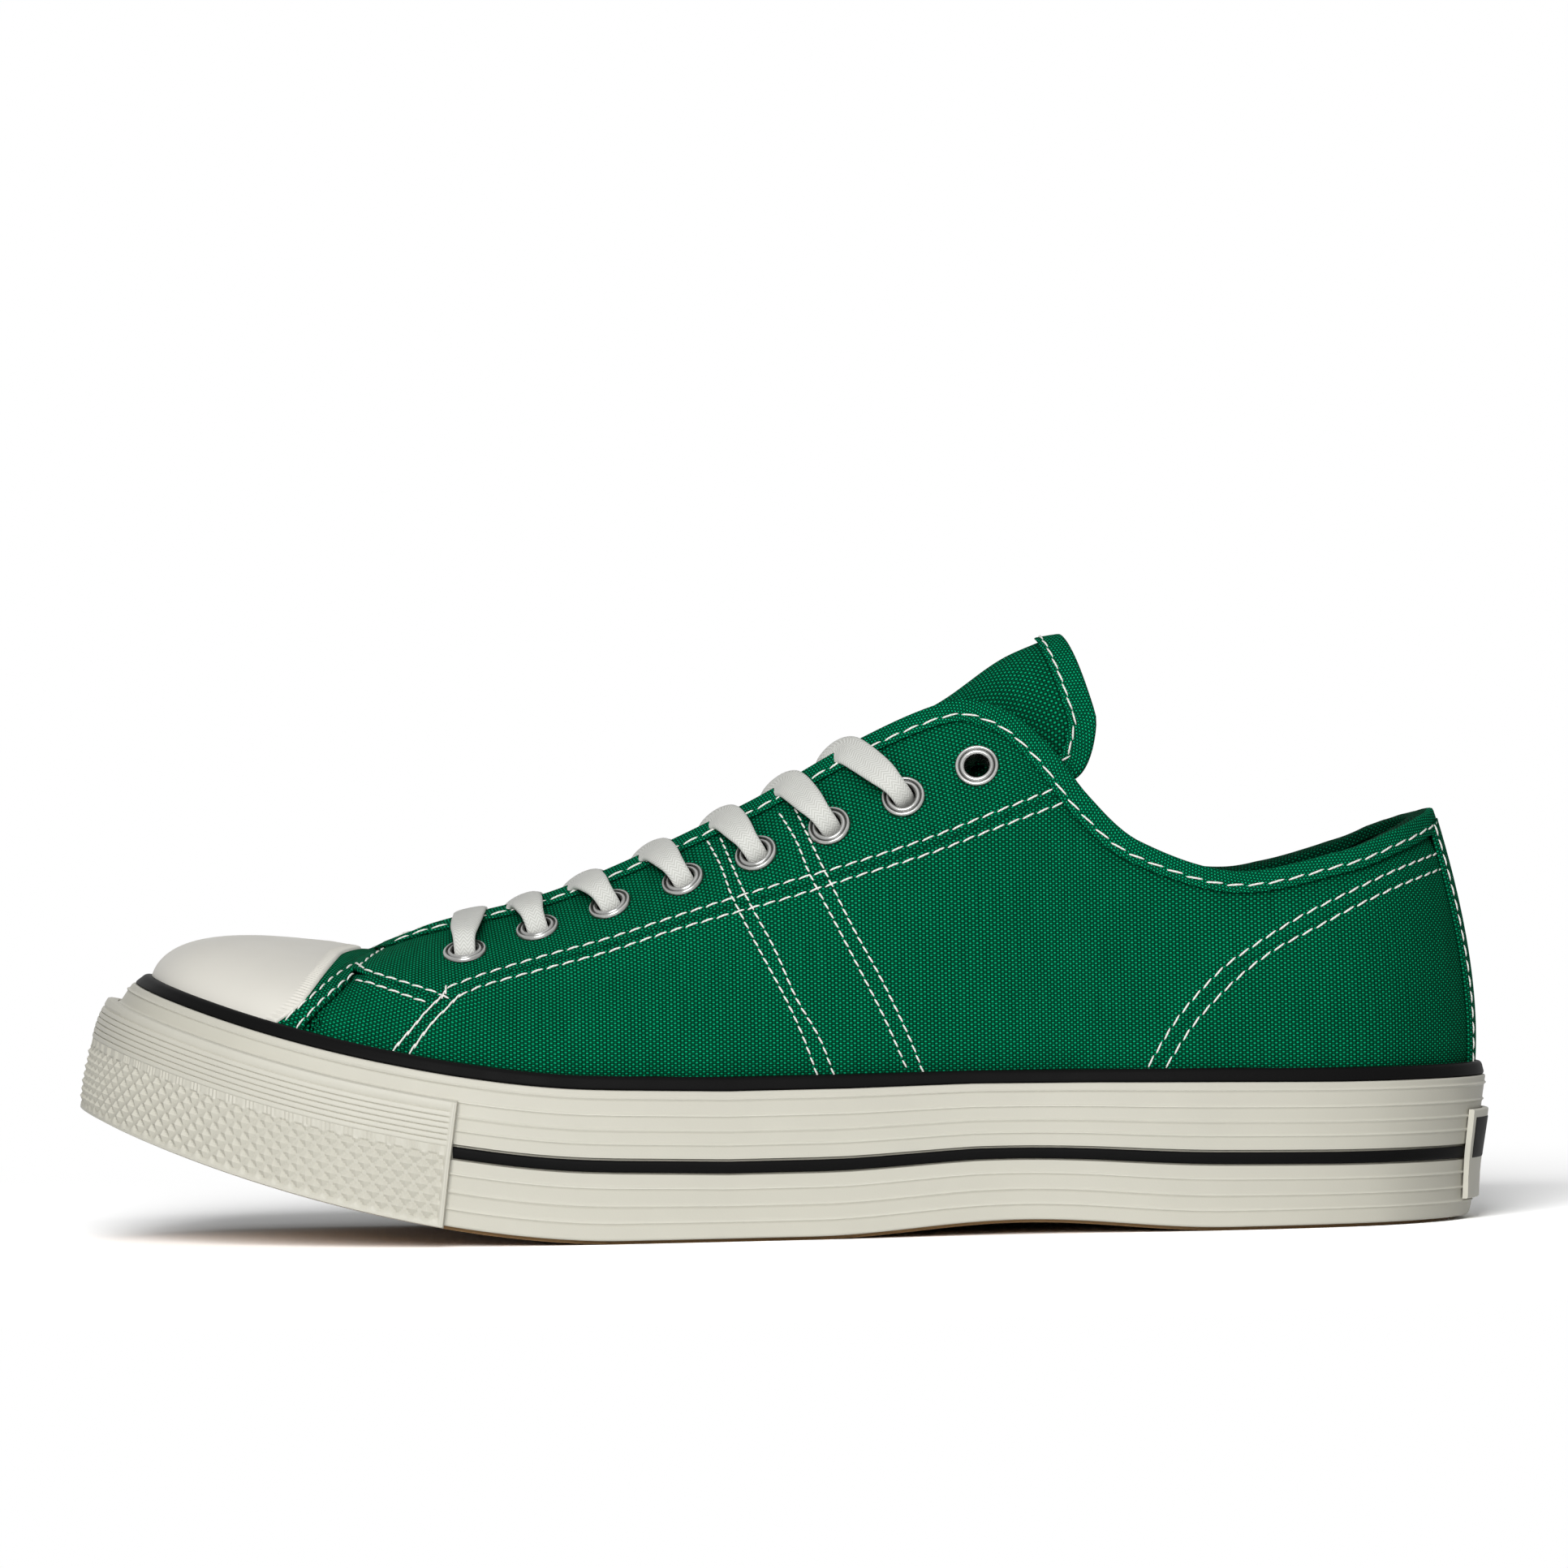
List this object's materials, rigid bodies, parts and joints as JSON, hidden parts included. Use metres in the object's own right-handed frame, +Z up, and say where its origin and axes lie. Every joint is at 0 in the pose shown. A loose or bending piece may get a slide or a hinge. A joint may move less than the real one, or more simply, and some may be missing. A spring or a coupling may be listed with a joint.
{
  "type": "canvas shoe",
  "caption": "Low-cut lace-up canvas shoe for the left foot with a rubber toe cap, white rubber sidewall, black line and stripe, metal eyelets and a cotton lace.",
  "frame": {"origin": "middle of the box round the shoe, on the ground", "axes": "-X towards the toe, +X towards the heel, -Y towards the outer side of the foot, +Z up"},
  "size_m": [0.2999, 0.1093, 0.1262],
  "materials": {
    "green_canvas": "matte plain weave",
    "lining_canvas": "matte plain weave",
    "white_rubber": "satin",
    "black_rubber": "satin",
    "tan_rubber": "matte",
    "white_cotton": "matte woven",
    "grey_filler": "matte fibre board and foam",
    "clear_tip": "satin",
    "bright_metal": "bright nickel look"
  },
  "bodies": {
    "shoe": {"backstay": "green_canvas", "collar_binding": "green_canvas", "eyelet_inner_1": "bright_metal", "eyelet_inner_2": "bright_metal", "eyelet_inner_3": "bright_metal", "eyelet_inner_4": "bright_metal", "eyelet_inner_5": "bright_metal", "eyelet_inner_6": "bright_metal", "eyelet_inner_7": "bright_metal", "eyelet_inner_8": "bright_metal", "eyelet_outer_1": "bright_metal", "eyelet_outer_2": "bright_metal", "eyelet_outer_3": "bright_metal", "eyelet_outer_4": "bright_metal", "eyelet_outer_5": "bright_metal", "eyelet_outer_6": "bright_metal", "eyelet_outer_7": "bright_metal", "eyelet_outer_8": "bright_metal", "eyestay_inner": "green_canvas", "eyestay_outer": "green_canvas", "foxing": "white_rubber", "heel_counter_inner": "green_canvas", "heel_counter_outer": "green_canvas", "heel_label": "black_rubber", "heel_stiffener": "grey_filler", "insole": "white_cotton", "insole_board": "grey_filler", "lace": "white_cotton", "lace_tip_inner": "clear_tip", "lace_tip_outer": "clear_tip", "midsole": "grey_filler", "outsole": "tan_rubber", "quarter_inner": "green_canvas", "quarter_lining_inner": "lining_canvas", "quarter_lining_outer": "lining_canvas", "quarter_outer": "green_canvas", "saddle_strap_inner": "white_cotton", "saddle_strap_outer": "white_cotton", "side_stripe_inner": "black_rubber", "side_stripe_outer": "black_rubber", "toe_band": "green_canvas", "toe_bumper": "white_rubber", "toe_cap": "white_rubber", "top_line": "black_rubber", "vamp": "green_canvas", "vamp_lining": "lining_canvas"},
    "tongue": {"tongue": "green_canvas", "tongue_binding": "green_canvas"}
  },
  "joints": [
    {"name": "tongue_hinge", "type": "hinge", "parent": "shoe", "child": "tongue", "pos_m": [-0.084, 0.00408, 0.0541], "axis": [0, 1, 0], "range_deg": [0, 12], "stiffness_Nm_per_rad": 0.15, "springref_deg": -5.73}
  ]
}
